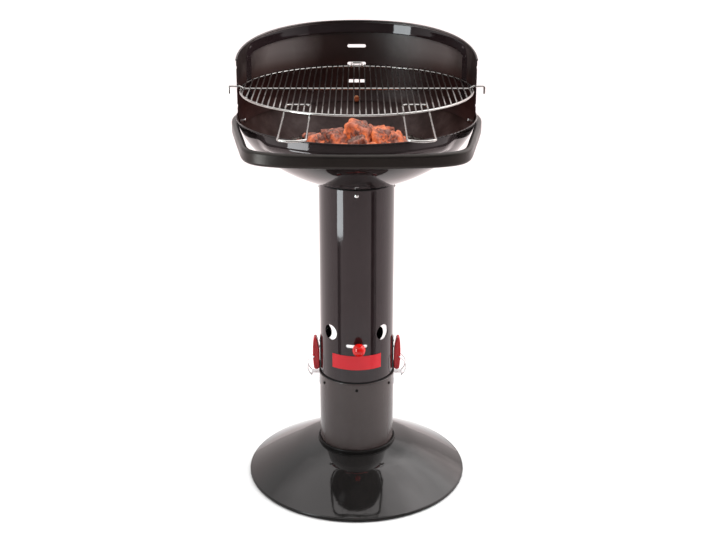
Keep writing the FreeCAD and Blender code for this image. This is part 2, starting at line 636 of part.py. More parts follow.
def loop(s):
    r = 9.0
    pts = [(s * LOOP_XI, -250.0, loop_z), (s * LOOP_XI, LOOP_Y0, loop_z), (s * LOOP_XO, LOOP_Y0, loop_z),
           (s * LOOP_XO, -380.0, loop_z)]
    a = bent_path(pts, r)
    xm = s * (LOOP_XI + LOOP_XO) / 2
    front = bent_path([(s * LOOP_XI, -250.0, loop_z), (s * LOOP_XI, LOOP_Y1 + 9.0, loop_z), (xm, LOOP_Y1 - 2.0, loop_z),
                       (s * LOOP_XO, LOOP_Y1 + 9.0, loop_z), (s * LOOP_XO, -380.0, loop_z)], [11.0, 26.0, 11.0])
    return sweep_round(a, LOOP_W).fuse(sweep_round(front, LOOP_W)).removeSplitter()


save("grid_handles", [loop(-1), loop(1)])
tab_z = GRID_Z + GRID_RIM_W + TAB_W - 0.3
tab = bent_path([(-BAR_PITCH, 215.0, tab_z), (-BAR_PITCH, 259.0, tab_z), (BAR_PITCH, 259.0, tab_z), (BAR_PITCH, 215.0, tab_z)], 5.0)
save("grid_rear_tab", sweep_round(tab, TAB_W))
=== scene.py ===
import math

import bmesh
import bpy
import numpy as np
from mathutils import Matrix, Vector, noise


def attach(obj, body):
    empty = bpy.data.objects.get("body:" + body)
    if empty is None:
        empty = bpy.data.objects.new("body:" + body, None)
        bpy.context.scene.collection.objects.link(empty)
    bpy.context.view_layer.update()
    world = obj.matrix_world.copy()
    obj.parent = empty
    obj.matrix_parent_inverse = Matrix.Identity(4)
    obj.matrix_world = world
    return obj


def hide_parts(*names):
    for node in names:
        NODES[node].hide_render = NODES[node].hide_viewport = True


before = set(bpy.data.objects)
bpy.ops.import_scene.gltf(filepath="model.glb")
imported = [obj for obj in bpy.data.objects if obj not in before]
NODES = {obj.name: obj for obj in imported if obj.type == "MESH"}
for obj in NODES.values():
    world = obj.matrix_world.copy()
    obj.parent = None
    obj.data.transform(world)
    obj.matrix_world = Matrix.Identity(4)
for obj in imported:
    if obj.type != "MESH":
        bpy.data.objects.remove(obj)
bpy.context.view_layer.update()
scene = bpy.context.scene


# ---------------------------------------------------------------- node helpers
def new_mat(name):
    m = bpy.data.materials.new(name)
    m.use_nodes = True
    nt = m.node_tree
    return m, nt, nt.nodes["Principled BSDF"]


def add(nt, kind, **values):
    n = nt.nodes.new(kind)
    for k, v in values.items():
        if hasattr(n, k):
            setattr(n, k, v)
        else:
            n.inputs[k.replace("_", " ").title() if k.replace("_", " ").title() in n.inputs else k].default_value = v
    return n


def coords(nt):
    return add(nt, "ShaderNodeTexCoord").outputs["Object"]


def noise_tex(nt, at, scale, detail=2.0, rough=0.5, dist=0.0):
    n = nt.nodes.new("ShaderNodeTexNoise")
    n.inputs["Scale"].default_value = scale
    n.inputs["Detail"].default_value = detail
    n.inputs["Roughness"].default_value = rough
    n.inputs["Distortion"].default_value = dist
    nt.links.new(at, n.inputs["Vector"])
    return n.outputs["Fac"]


def stretched(nt, at, scale):
    n = nt.nodes.new("ShaderNodeMapping")
    n.inputs["Scale"].default_value = scale
    nt.links.new(at, n.inputs["Vector"])
    return n.outputs["Vector"]


def ramp(nt, fac, stops):
    n = nt.nodes.new("ShaderNodeValToRGB")
    e = n.color_ramp.elements
    while len(e) < len(stops):
        e.new(0.5)
    for el, (pos, col) in zip(e, stops):
        el.position = pos
        el.color = (*col, 1.0) if len(col) == 3 else col
    nt.links.new(fac, n.inputs["Fac"])
    return n.outputs["Color"]


def spread(nt, fac, a, b, lo=0.3, hi=0.7):
    """A value between a and b as fac goes from lo to hi."""
    n = nt.nodes.new("ShaderNodeMapRange")
    n.inputs["From Min"].default_value = lo
    n.inputs["From Max"].default_value = hi
    n.inputs["To Min"].default_value = a
    n.inputs["To Max"].default_value = b
    nt.links.new(fac, n.inputs["Value"])
    return n.outputs["Result"]


def mathn(nt, op, a, b):
    n = nt.nodes.new("ShaderNodeMath")
    n.operation = op
    for i, v in enumerate((a, b)):
        if isinstance(v, (int, float)):
            n.inputs[i].default_value = v
        else:
            nt.links.new(v, n.inputs[i])
    return n.outputs[0]


def bump(nt, p, height, strength, distance, before=None):
    n = nt.nodes.new("ShaderNodeBump")
    n.inputs["Strength"].default_value = strength
    n.inputs["Distance"].default_value = distance
    nt.links.new(height, n.inputs["Height"])
    if before is not None:
        nt.links.new(before, n.inputs["Normal"])
    if p is not None:
        nt.links.new(n.outputs["Normal"], p.inputs["Normal"])
    return n.outputs["Normal"]


# ---------------------------------------------------------------- materials
def enamel(name, dark, light, r0, r1, collar=False, tint=(1.0, 1.0, 1.0)):
    """Vitreous enamel: near black, mirror gloss, faint orange peel and pin speckle."""
    m, nt, p = new_mat(name)
    at = coords(nt)
    cloud = noise_tex(nt, at, 9.0, 3.0)
    speck = noise_tex(nt, at, 1400.0, 1.0)
    both = mathn(nt, "ADD", mathn(nt, "MULTIPLY", cloud, 0.7), mathn(nt, "MULTIPLY", speck, 0.3))
    nt.links.new(ramp(nt, both, [(0.32, dark), (0.68, light)]), p.inputs["Base Color"])
    film = noise_tex(nt, at, 30.0, 4.0, 0.6)
    gloss = spread(nt, film, r0, r1)
    if collar:
        # matt black lip round the pot
        xyz = nt.nodes.new("ShaderNodeSeparateXYZ")
        nt.links.new(at, xyz.inputs[0])
        lip = spread(nt, xyz.outputs[2], 0.0, 1.0, 0.0748, 0.0756)
        lip = mathn(nt, "ADD", lip, spread(nt, xyz.outputs[2], 0.7, 0.0, 0.0072, 0.0086))
        gloss = mathn(nt, "ADD", gloss, mathn(nt, "MULTIPLY", lip, 0.22))
        nt.links.new(spread(nt, lip, 0.5, 0.10, 0.0, 1.0), p.inputs["Specular IOR Level"])
    nt.links.new(gloss, p.inputs["Roughness"])
    peel = noise_tex(nt, at, 190.0, 2.0, 0.45)
    wave = noise_tex(nt, at, 14.0, 1.0)
    first = bump(nt, None, wave, 0.012, 0.004)
    bump(nt, p, peel, 0.030, 0.0007, first)
    p.inputs["IOR"].default_value = 1.45
    p.inputs["Specular Tint"].default_value = (*tint, 1.0)
    return m


def inner_side(nt, at, centre, lo, hi):
    """1 on the faces that look towards the centre, 0 on the outer ones."""
    off = nt.nodes.new("ShaderNodeVectorMath")
    off.operation = "SUBTRACT"
    nt.links.new(at, off.inputs[0])
    off.inputs[1].default_value = centre
    d = nt.nodes.new("ShaderNodeVectorMath")
    d.operation = "DOT_PRODUCT"
    nt.links.new(off.outputs[0], d.inputs[0])
    nt.links.new(add(nt, "ShaderNodeTexCoord").outputs["Normal"], d.inputs[1])
    return spread(nt, d.outputs["Value"], 1.0, 0.0, lo, hi)


def blend(nt, fac, a, b):
    """Colour a where fac is 0, b where it is 1."""
    n = nt.nodes.new("ShaderNodeMix")
    n.data_type = "RGBA"
    nt.links.new(fac, n.inputs["Factor"])
    nt.links.new(a, n.inputs["A"])
    nt.links.new(b, n.inputs["B"])
    return n.outputs["Result"]


def between(nt, fac, a, b):
    """Value a where fac is 0, b where it is 1."""
    return mathn(nt, "ADD", a, mathn(nt, "MULTIPLY", fac, mathn(nt, "SUBTRACT", b, a)))


def bowl_enamel(name):
    """The bowl's enamel: gloss black outside, dulled and browned by the fire inside."""
    m, nt, p = new_mat(name)
    at = coords(nt)
    cloud = noise_tex(nt, at, 9.0, 3.0)
    speck = noise_tex(nt, at, 1400.0, 1.0)
    both = mathn(nt, "ADD", mathn(nt, "MULTIPLY", cloud, 0.7), mathn(nt, "MULTIPLY", speck, 0.3))
    inside = inner_side(nt, at, (0.0, 0.0, 0.9), -0.12, -0.08)
    outer = ramp(nt, both, [(0.32, (0.0095, 0.0066, 0.0066)), (0.68, (0.0165, 0.0118, 0.0116))])
    inner = ramp(nt, noise_tex(nt, at, 22.0, 5.0, 0.65), [(0.30, (0.018, 0.0085, 0.0072)), (0.50, (0.040, 0.0215, 0.0190)), (0.70, (0.070, 0.0450, 0.0415))])
    nt.links.new(blend(nt, inside, outer, inner), p.inputs["Base Color"])
    film = noise_tex(nt, at, 30.0, 4.0, 0.6)
    nt.links.new(between(nt, inside, spread(nt, film, 0.035, 0.070), spread(nt, film, 0.27, 0.40)), p.inputs["Roughness"])
    p.inputs["Specular Tint"].default_value = (1.0, 0.88, 0.88, 1.0)
    nt.links.new(spread(nt, inside, 0.40, 0.22, 0.0, 1.0), p.inputs["Specular IOR Level"])
    bump(nt, p, noise_tex(nt, at, 190.0, 2.0, 0.45), 0.030, 0.0007, bump(nt, None, noise_tex(nt, at, 14.0, 1.0), 0.012, 0.004))
    p.inputs["IOR"].default_value = 1.45
    return m


def screen_enamel_painted_light(name):
    """The windscreen's enamel: gloss black outside; inside, painted highlights at the sides, painted shade lower down
    and reddish brown behind the fire.
    """
    m, nt, p = new_mat(name)
    at = coords(nt)
    xyz = nt.nodes.new("ShaderNodeSeparateXYZ")
    nt.links.new(at, xyz.inputs[0])
    side = mathn(nt, "ABSOLUTE", xyz.outputs[0], 0.0)
    wander = noise_tex(nt, at, 14.0, 4.0, 0.6)
    side = mathn(nt, "ADD", side, mathn(nt, "MULTIPLY", mathn(nt, "SUBTRACT", wander, 0.5), 0.05))
    # painted highlight: lighter bands at both sides of the inner face stand in for broad soft reflections of the lamps
    painted_sheen_across = ramp(nt, spread(nt, side, 0.0, 1.0, 0.0, 0.25), [
        (0.0, (0.023, 0.0115, 0.0105)), (0.28, (0.030, 0.0155, 0.0140)), (0.43, (0.092, 0.072, 0.069)),
        (0.54, (0.160, 0.135, 0.132)), (0.76, (0.165, 0.137, 0.133)), (0.87, (0.085, 0.066, 0.063)), (0.94, (0.016, 0.0095, 0.0090))])
    # painted shade: the inner face turns darker and warmer lower down, towards the grid
    painted_shade_low = ramp(nt, spread(nt, xyz.outputs[2], 0.0, 1.0, 0.82, 0.98), [(0.10, (0.26, 0.17, 0.15)), (0.40, (0.56, 0.45, 0.42)), (0.62, (1.0, 1.0, 1.0))])
    mix = nt.nodes.new("ShaderNodeMix")
    mix.data_type = "RGBA"
    mix.blend_type = "MULTIPLY"
    mix.inputs["Factor"].default_value = 1.0
    nt.links.new(painted_sheen_across, mix.inputs["A"])
    nt.links.new(painted_shade_low, mix.inputs["B"])
    inside = inner_side(nt, at, (0.0, 0.0, 0.9), -0.16, -0.08)
    outer = ramp(nt, noise_tex(nt, at, 9.0, 3.0), [(0.32, (0.0085, 0.0062, 0.0060)), (0.68, (0.0150, 0.0112, 0.0108))])
    # reddish brown below the grid, behind the fire
    brown = ramp(nt, wander, [(0.3, (0.023, 0.0072, 0.0060)), (0.7, (0.041, 0.0134, 0.0110))])
    inner = blend(nt, spread(nt, xyz.outputs[2], 1.0, 0.0, 0.868, 0.902), mix.outputs["Result"], brown)
    nt.links.new(blend(nt, inside, outer, inner), p.inputs["Base Color"])
    film = noise_tex(nt, at, 30.0, 4.0, 0.6)
    nt.links.new(between(nt, inside, spread(nt, film, 0.035, 0.070), spread(nt, film, 0.34, 0.46)), p.inputs["Roughness"])
    bump(nt, p, noise_tex(nt, at, 190.0, 2.0, 0.45), 0.030, 0.0007, bump(nt, None, noise_tex(nt, at, 14.0, 1.0), 0.012, 0.004))
    p.inputs["IOR"].default_value = 1.45
    return m


def satin_paint(name, dark, light, r0, r1, grain=1100.0, strength=0.10, spec=0.5):
    """Powder coat: fine pebbled texture."""
    m, nt, p = new_mat(name)
    at = coords(nt)
    cloud = noise_tex(nt, at, 16.0, 3.0)
    fine = noise_tex(nt, at, grain, 2.0)
    both = mathn(nt, "ADD", mathn(nt, "MULTIPLY", cloud, 0.55), mathn(nt, "MULTIPLY", fine, 0.45))
    nt.links.new(ramp(nt, both, [(0.32, dark), (0.68, light)]), p.inputs["Base Color"])
    nt.links.new(spread(nt, cloud, r0, r1), p.inputs["Roughness"])
    bump(nt, p, fine, strength, 0.0006)
    p.inputs["Specular IOR Level"].default_value = spec
    return m


def metal(name, dark, light, r0, r1, stretch=(1, 1, 1), scale=60.0, scratch=0.04):
    """Plated or rolled metal: drawn streaks, slight tarnish."""
    m, nt, p = new_mat(name)
    at = coords(nt)
    tarnish = noise_tex(nt, at, scale, 4.0, 0.6)
    streak = noise_tex(nt, stretched(nt, at, stretch), 240.0, 3.0, 0.6)
    nt.links.new(ramp(nt, tarnish, [(0.30, dark), (0.62, light)]), p.inputs["Base Color"])
    both = mathn(nt, "ADD", mathn(nt, "MULTIPLY", tarnish, 0.4), mathn(nt, "MULTIPLY", streak, 0.6))
    nt.links.new(spread(nt, both, r0, r1), p.inputs["Roughness"])
    bump(nt, p, streak, scratch, 0.0004)
    p.inputs["Metallic"].default_value = 1.0
    return m


def grid_bar_steel(name):
    """Heat-darkened wire, with a painted highlight on its ends over the front rim."""
    m, nt, p = new_mat(name)
    at = coords(nt)
    xyz = nt.nodes.new("ShaderNodeSeparateXYZ")
    nt.links.new(at, xyz.inputs[0])
    flat = nt.nodes.new("ShaderNodeVectorMath")
    flat.operation = "MULTIPLY"
    nt.links.new(at, flat.inputs[0])
    flat.inputs[1].default_value = (1.0, 1.0, 0.0)
    span = nt.nodes.new("ShaderNodeVectorMath")
    span.operation = "LENGTH"
    nt.links.new(flat.outputs[0], span.inputs[0])
    tarnish = noise_tex(nt, at, 26.0, 4.0, 0.6)
    streak = noise_tex(nt, stretched(nt, at, (1, 0.06, 1)), 240.0, 3.0, 0.6)
    reach = mathn(nt, "ADD", span.outputs["Value"], mathn(nt, "MULTIPLY", mathn(nt, "SUBTRACT", tarnish, 0.5), 0.03))
    rim = spread(nt, reach, 0.0, 1.0, 0.186, 0.214)
    # painted highlight: the wire ends over the front rim, and only there, take a bright colour
    painted_highlight_ends = mathn(nt, "MULTIPLY", rim, spread(nt, xyz.outputs[1], 1.0, 0.0, -0.06, 0.02))
    hot = ramp(nt, tarnish, [(0.30, (0.017, 0.011, 0.009)), (0.62, (0.042, 0.030, 0.026))])
    cool = ramp(nt, tarnish, [(0.30, (0.070, 0.053, 0.046)), (0.62, (0.140, 0.112, 0.100))])
    dark = blend(nt, spread(nt, reach, 0.0, 1.0, 0.11, 0.20), hot, cool)
    bright = ramp(nt, tarnish, [(0.30, (0.52, 0.50, 0.48)), (0.62, (0.72, 0.70, 0.68))])
    nt.links.new(blend(nt, painted_highlight_ends, dark, bright), p.inputs["Base Color"])
    nt.links.new(spread(nt, streak, 0.24, 0.40), p.inputs["Roughness"])
    bump(nt, p, streak, 0.04, 0.0004)
    p.inputs["Metallic"].default_value = 1.0
    return m


def plastic(name, dark, light, r0, r1, grain=700.0, strength=0.03, spec=0.5):
    """Moulded plastic: slight colour depth and a fine mould texture."""
    m, nt, p = new_mat(name)
    at = coords(nt)
    cloud = noise_tex(nt, at, 55.0, 3.0)
    fine = noise_tex(nt, at, grain, 2.0)
    nt.links.new(ramp(nt, cloud, [(0.30, dark), (0.70, light)]), p.inputs["Base Color"])
    nt.links.new(spread(nt, fine, r0, r1), p.inputs["Roughness"])
    bump(nt, p, fine, strength, 0.0004)
    p.inputs["Specular IOR Level"].default_value = spec
    return m


M_ENAMEL = enamel("enamel_black", (0.0145, 0.0088, 0.0096), (0.0225, 0.0145, 0.0158), 0.035, 0.070, tint=(1.0, 0.95, 0.97))
# painted sheen: a lighter copy of the black enamel, so the band under the bowl's rim reads light grey
M_BAND_PAINTED_SHEEN = enamel("enamel_band_painted_sheen", (0.0290, 0.0225, 0.0230), (0.0390, 0.0310, 0.0318), 0.035, 0.070, tint=(1.0, 0.90, 0.91))
M_BOWL = bowl_enamel("enamel_bowl")
M_POT = satin_paint("enamel_pot", (0.0440, 0.0315, 0.0300), (0.0560, 0.0410, 0.0395), 0.18, 0.26, 700.0, 0.03, 0.42)
M_FOOT = enamel("enamel_foot", (0.0070, 0.0066, 0.0064), (0.0120, 0.0112, 0.0108), 0.035, 0.075, collar=True, tint=(1.0, 0.95, 0.95))
# the windscreen's inner face carries painted highlights and painted shade
M_SCREEN = screen_enamel_painted_light("enamel_screen_painted_light")
M_RING = satin_paint("ring_black", (0.0065, 0.0055, 0.0048), (0.0110, 0.0094, 0.0084), 0.30, 0.38, 900.0, 0.05, 0.28)
# matt black for the pot's seal ring, also used as painted shade in the neck groove
M_SEAL_AND_SHADE = satin_paint("seal_black", (0.0025, 0.0025, 0.0025), (0.0055, 0.0052, 0.0050), 0.62, 0.78, 1400.0, 0.12, 0.2)
M_RING.node_tree.nodes["Principled BSDF"].inputs["Specular Tint"].default_value = (1.0, 0.88, 0.83, 1.0)
M_STEEL_BLACK = satin_paint("black_steel", (0.008, 0.008, 0.008), (0.016, 0.015, 0.015), 0.28, 0.40)
M_CHROME = metal("chrome_wire", (0.34, 0.325, 0.31), (0.46, 0.445, 0.43), 0.12, 0.24, (1, 0.06, 1))
M_BARS = grid_bar_steel("grid_bar_steel")
M_BAIL = metal("bail_wire", (0.88, 0.88, 0.88), (0.96, 0.96, 0.96), 0.30, 0.40, (1, 1, 0.1))
M_GRATE = metal("grate_steel", (0.10, 0.085, 0.075), (0.34, 0.30, 0.27), 0.32, 0.55, (1, 0.08, 1), 90.0, 0.10)
M_ZINC = metal("zinc_steel", (0.52, 0.52, 0.53), (0.72, 0.72, 0.73), 0.22, 0.36, (1, 1, 0.1), 120.0)
M_SCREW = metal("screw_steel", (0.62, 0.61, 0.60), (0.85, 0.84, 0.83), 0.12, 0.24, (1, 1, 1), 300.0)
M_SCREW_DARK = metal("screw_dark", (0.008, 0.0075, 0.007), (0.020, 0.0185, 0.018), 0.40, 0.55, (1, 1, 1), 300.0)
# painted reflection: the rear bolt's orange colour stands in for the glowing coals reflected in it
M_BOLT_COAL_REFLECTION = metal("bolt_painted_coal_reflection", (0.46, 0.165, 0.080), (0.78, 0.340, 0.180), 0.30, 0.44, (1, 1, 1), 160.0)
M_DAMPER = metal("damper_metal", (0.86, 0.86, 0.86), (0.96, 0.96, 0.96), 0.30, 0.42, (1, 1, 0.05), 70.0)
M_KNOB = plastic("knob_red", (0.60, 0.0035, 0.0025), (0.74, 0.0070, 0.0045), 0.06, 0.11, 500.0, 0.01, 0.40)
M_LEVER = plastic("lever_red", (0.42, 0.0075, 0.0125), (0.52, 0.0130, 0.0200), 0.22, 0.34, 900.0, 0.05, 0.30)
M_PLATE = satin_paint("plate_red", (0.62, 0.018, 0.028), (0.74, 0.028, 0.040), 0.16, 0.26, 1500.0, 0.02, 0.25)

LOOKS = {
    "foot": M_FOOT, "ash_pot": M_POT, "column_tube": M_ENAMEL, "bowl": M_BOWL, "windscreen": M_SCREEN, "pot_seal": M_SEAL_AND_SHADE,
    "support_ring": M_ZINC, "pot_screws": M_SCREW_DARK, "neck_screws": M_SCREW, "damper_ring": M_DAMPER,
    "damper_stem": M_SCREW, "damper_knob": M_KNOB, "front_plate": M_PLATE,
    "latch_base_left": M_STEEL_BLACK, "latch_base_right": M_STEEL_BLACK, "latch_pin_left": M_LEVER, "latch_pin_right": M_LEVER,
    "latch_lever_left": M_LEVER, "latch_lever_right": M_LEVER, "latch_bail_left": M_BAIL, "latch_bail_right": M_BAIL,
    "pot_catch_left": M_ZINC, "pot_catch_right": M_ZINC, "latch_rivets": M_SCREW,
    "grip_ring": M_RING, "ring_spacers": M_STEEL_BLACK, "ring_bolts": M_SCREW, "rear_bolt": M_BOLT_COAL_REFLECTION,
    "grate_rim": M_GRATE, "grate_bars": M_GRATE,
    "grid_rim": M_CHROME, "grid_bars": M_BARS, "grid_cross_bar": M_CHROME, "grid_handles": M_CHROME, "grid_rear_tab": M_CHROME,
    "charcoal": M_STEEL_BLACK,
}
for name, mat in LOOKS.items():
    o = NODES[name]
    o.data.materials.clear()
    o.data.materials.append(mat)

# ---------------------------------------------------------------- mesh helpers
def mesh_piece(name, verts, faces, body, mat, smooth=40.0, slot=None):
    me = bpy.data.meshes.new(name)
    me.from_pydata([tuple(v) for v in verts], [], [tuple(f) for f in faces])
    me.validate()
    o = bpy.data.objects.new(name, me)
    scene.collection.objects.link(o)
    finish_piece(o, body, mat, smooth)
    return o


def finish_piece(o, body, mat, smooth=40.0):
    me = o.data
    bm = bmesh.new()
    bm.from_mesh(me)
    bmesh.ops.recalc_face_normals(bm, faces=bm.faces)
    bm.to_mesh(me)
    bm.free()
    me.materials.clear()
    me.materials.append(mat)
    if smooth:
        me.shade_smooth()
        me.set_sharp_from_angle(angle=math.radians(smooth))
    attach(o, body)


def loft(rings, closed_ring=True, caps=True, closed_path=False):
    """Verts and faces of a skin over rings of equal length."""
    n = len(rings[0])
    verts = [v for r in rings for v in r]
    faces = []
    last = len(rings) if closed_path else len(rings) - 1
    for i in range(last):
        a, b = i * n, ((i + 1) % len(rings)) * n
        for k in range(n if closed_ring else n - 1):
            k2 = (k + 1) % n
            faces.append((a + k, a + k2, b + k2, b + k))
    if caps and not closed_path:
        faces.append(tuple(range(n))[::-1])
        faces.append(tuple(range((len(rings) - 1) * n, len(rings) * n)))
    return verts, faces


def catmull(points, per, closed=True):
    """Smooth closed line through the points."""
    p = [np.array(q, float) for q in points]
    n, out = len(p), []
    for i in range(n if closed else n - 1):
        if closed:
            a, b, c, d = p[i - 1], p[i], p[(i + 1) % n], p[(i + 2) % n]
        else:
            a, b, c, d = p[max(i - 1, 0)], p[i], p[i + 1], p[min(i + 2, n - 1)]
        for k in range(per):
            t = k / per
            out.append(0.5 * (2 * b + (c - a) * t + (2 * a - 5 * b + 4 * c - d) * t * t + (3 * b - a - 3 * c + d) * t ** 3))
    return out


def cut_with(o, cutters):
    """Difference with some closed meshes; the cutters are removed."""
    for c in cutters:
        md = o.modifiers.new("cut", "BOOLEAN")
        md.operation = "DIFFERENCE"
        md.solver = "MANIFOLD"
        md.object = c
    bpy.context.view_layer.update()
    dg = bpy.context.evaluated_depsgraph_get()
    me = bpy.data.meshes.new_from_object(o.evaluated_get(dg))
    o.modifiers.clear()
    old = o.data
    o.data = me
    bpy.data.meshes.remove(old)
    for c in cutters:
        bpy.data.objects.remove(c)


def plain(name, verts, faces):
    me = bpy.data.meshes.new(name)
    me.from_pydata([tuple(v) for v in verts], [], [tuple(f) for f in faces])
    bm = bmesh.new()
    bm.from_mesh(me)
    bmesh.ops.recalc_face_normals(bm, faces=bm.faces)
    bm.to_mesh(me)
    bm.free()
    o = bpy.data.objects.new(name, me)
    scene.collection.objects.link(o)
    return o


def box_mesh(name, lo, hi):
    x0, y0, z0 = lo
    x1, y1, z1 = hi
    v = [(x0, y0, z0), (x1, y0, z0), (x1, y1, z0), (x0, y1, z0), (x0, y0, z1), (x1, y0, z1), (x1, y1, z1), (x0, y1, z1)]
    f = [(3, 2, 1, 0), (4, 5, 6, 7), (0, 1, 5, 4), (1, 2, 6, 5), (2, 3, 7, 6), (3, 0, 4, 7)]
    return plain(name, v, f)


def rod_mesh(name, a, b, r, n=32):
    a, b = Vector(a), Vector(b)
    q = (b - a).to_track_quat("Z", "Y")
    rings = [[at + q @ Vector((r * math.cos(2 * math.pi * k / n), r * math.sin(2 * math.pi * k / n), 0)) for k in range(n)] for at in (a, b)]
    return plain(name, *loft(rings))


# ---------------------------------------------------------------- charcoal
rnd = [12345]


def rand():
    rnd[0] = (rnd[0] * 1103515245 + 12345) % 2147483648
    return rnd[0] / 2147483648.0


def charcoal_material():
    """Lump charcoal: black fracture faces, pale ash, glow in the deep parts."""
    m, nt, p = new_mat("charcoal")
    at = coords(nt)
    big = noise_tex(nt, at, 34.0, 4.0, 0.6, 0.3)
    mid = noise_tex(nt, at, 120.0, 4.0, 0.65)
    fine = noise_tex(nt, at, 620.0, 3.0, 0.6)
    heat = nt.nodes.new("ShaderNodeAttribute")
    heat.attribute_name = "ember"
    warm = mathn(nt, "ADD", mathn(nt, "MULTIPLY", heat.outputs["Fac"], 0.80),
                 mathn(nt, "ADD", mathn(nt, "MULTIPLY", big, 0.36), mathn(nt, "MULTIPLY", mid, 0.22)))
    ash = mathn(nt, "ADD", mathn(nt, "MULTIPLY", mid, 0.6), mathn(nt, "MULTIPLY", fine, 0.4))
    base = ramp(nt, ash, [(0.34, (0.036, 0.020, 0.016)), (0.45, (0.138, 0.076, 0.060)), (0.60, (0.280, 0.170, 0.142))])
    nt.links.new(base, p.inputs["Base Color"])
    nt.links.new(ramp(nt, warm, [(0.36, (0.0, 0.0, 0.0)), (0.48, (0.10, 0.012, 0.003)), (0.62, (0.36, 0.058, 0.012)),
                                 (0.78, (0.60, 0.110, 0.021)), (1.0, (0.78, 0.175, 0.038))]), p.inputs["Emission Color"])
    p.inputs["Emission Strength"].default_value = 1.0
    p.inputs["Roughness"].default_value = 0.9
    h = mathn(nt, "ADD", mathn(nt, "MULTIPLY", mid, 0.6), mathn(nt, "MULTIPLY", fine, 0.4))
    bump(nt, p, h, 0.6, 0.003)
    return m


M_CHARCOAL = charcoal_material()


def ico(sub):
    bm = bmesh.new()
    bmesh.ops.create_icosphere(bm, subdivisions=sub, radius=1.0)
    v = np.array([x.co for x in bm.verts])
    f = [tuple(x.index for x in face.verts) for face in bm.faces]
    bm.free()
    return v, f


ICO_V, ICO_F = ico(5)


def lump(sx, sy, sz, seed):
    """A broken piece of charcoal: cleaved by random planes, then roughened. Returns points and heat."""
    rs = np.random.RandomState(seed)
    k = 17
    nrm = rs.normal(size=(k, 3))
    nrm /= np.linalg.norm(nrm, axis=1)[:, None]
    dist = rs.uniform(0.70, 1.02, k)
    nrm = np.vstack([nrm, np.eye(3), -np.eye(3)])
    dist = np.concatenate([dist, np.full(6, 1.06)])
    dots = ICO_V @ nrm.T
    cut = np.where(dots > 0.05, dist / np.maximum(dots, 0.05), 9.0)
    soft = -np.log(np.exp(-14.0 * np.minimum(cut, 3.0)).sum(1)) / 14.0
    off = rs.uniform(-50, 50, 3)
    big = np.array([noise.fractal(Vector(d * 1.6 + off), 0.8, 2.1, 3) for d in ICO_V])
    crack = np.array([noise.ridged_multi_fractal(Vector(d * 2.6 + off), 0.9, 2.0, 4, 0.9, 2.0) for d in ICO_V])
    fine = np.array([noise.fractal(Vector(d * 7.0 + off), 0.7, 2.0, 3) for d in ICO_V])
    crack = (crack - crack.min()) / (np.ptp(crack) + 1e-9)
    r = soft * (1 + 0.17 * big) - 0.11 * np.clip((crack - 0.62) / 0.38, 0, 1) + 0.022 * fine
    pts = ICO_V * r[:, None] * np.array([sx, sy, sz]) / 2
    edge = (soft - soft.min()) / (np.ptp(soft) + 1e-9)
    heat = 0.14 + 0.50 * np.clip((edge - 0.28) / 0.50, 0, 1) + 0.34 * np.clip((crack - 0.50) / 0.40, 0, 1)
    return pts, heat


z_top = 746.6
spots = []
# bed of lumps over the grate
for i in range(-4, 5):
    for j in range(-4, 5):
        x, y = (i + 0.5 * (j % 2)) * 54.0, j * 54.0 * 0.866
        if math.hypot(x, y) <= 138.0 and x < 105.0:
            w, h = 56 + 9 * rand(), 35 + 4 * rand()
            low = y > 20.0 or x < -95.0
            spots.append((x, y, z_top + (10.0 if low else 18.0), w, w * 0.86, h * (0.68 if low else 1.0), 0.55 if low else 0.80))
# the heap in the middle, large lumps first
spots += [
    (12, -42, 785, 80, 66, 80, 1.00), (-46, -50, 780, 66, 56, 66, 0.90), (52, -54, 777, 54, 54, 66, 1.25), (80, -54, 767, 46, 48, 62, 1.05),
    (2, -76, 774, 56, 44, 54, 0.45), (-84, -52, 769, 44, 44, 48, 0.85), (-68, -74, 765, 38, 36, 40, 1.05), (30, -82, 766, 38, 36, 40, 1.25),
    (-24, -80, 765, 38, 34, 40, 1.30), (66, -80, 763, 38, 34, 36, 1.00), (-30, -6, 766, 56, 50, 50, 0.9), (36, -8, 773, 56, 50, 52, 1.1)]
lv, lf, lh = [], [], []
for i, (x, y, z, sx, sy, sz, hot) in enumerate(spots):
    turn = [360 * rand() if i >= 12 else 60 * rand() - 30, 24 * rand() - 12, 24 * rand() - 12]
    pts, heat = lump(sx, sy, sz, 300 + i)
    rot = Matrix.Rotation(math.radians(turn[0]), 3, "Z") @ Matrix.Rotation(math.radians(turn[1]), 3, "Y") @ Matrix.Rotation(math.radians(turn[2]), 3, "X")
    pts = pts @ np.array(rot).T + np.array([x, y, z])
    base = len(lv)
    lv += list(pts / 1000.0)
    lf += [tuple(base + k for k in f) for f in ICO_F]
    lh += list(heat * hot)
coal = mesh_piece("charcoal_lumps", lv, lf, "stand", M_CHARCOAL, smooth=None, slot="charcoal")
coal.data.shade_smooth()
at = coal.data.attributes.new("ember", "FLOAT", "POINT")
at.data.foreach_set("value", np.array(lh, np.float32))
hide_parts("charcoal")

# ---------------------------------------------------------------- latch levers
LEVER_OUT = [(95.156, 255.672), (94.902, 252.043), (92.486, 248.894), (88.7, 247.7), (84.914, 248.894), (82.498, 252.043), (82.244, 255.672),
             (82.3, 270.0), (82.3, 283.0), (82.9, 296.0), (84.5, 308.0), (86.6, 318.0), (88.7, 322.8), (91.4, 324.2), (94.0, 322.8),
             (95.6, 317.5), (96.6, 306.0), (97.2, 290.0), (96.8, 273.0)]


